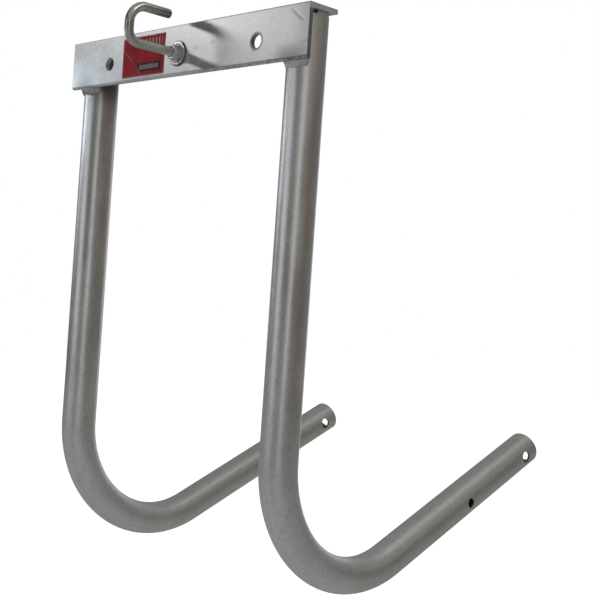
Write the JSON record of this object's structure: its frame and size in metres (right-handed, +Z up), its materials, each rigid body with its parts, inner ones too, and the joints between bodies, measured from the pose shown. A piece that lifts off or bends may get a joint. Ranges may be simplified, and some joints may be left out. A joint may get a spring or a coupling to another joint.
{
  "type": "cable support bracket",
  "caption": "Angle bar with welded J-shaped tube legs and a clamped hook bolt. It hangs from a strand or bolts to a face, and its arms cradle coiled cable.",
  "frame": {"origin": "on the bar's front face, in the middle of the row of holes, on the hook bolt's axis", "axes": "+X along the bar to the right seen from the front, +Y back the way the arms point, +Z up; the label and the hook are on the -Y side"},
  "size_m": [0.376, 0.5215, 0.5869],
  "materials": {
    "aluminium_bar": "mill finish, satin",
    "aluminium_tube": "drawn, satin with lengthwise streaks",
    "aluminium_weld": "as welded",
    "steel_rod": "dull grey",
    "zinc_steel": "zinc plated",
    "label_film": "printed film"
  },
  "bodies": {
    "root": {"cross_bar": "aluminium_bar", "left_j_tube": "aluminium_tube", "right_j_tube": "aluminium_tube", "left_weld": "aluminium_weld", "right_weld": "aluminium_weld", "hook_bolt": "steel_rod", "front_washer": "zinc_steel", "front_nut": "zinc_steel", "rear_washer": "zinc_steel", "rear_nut": "zinc_steel", "label": "label_film"}
  },
  "joints": []
}
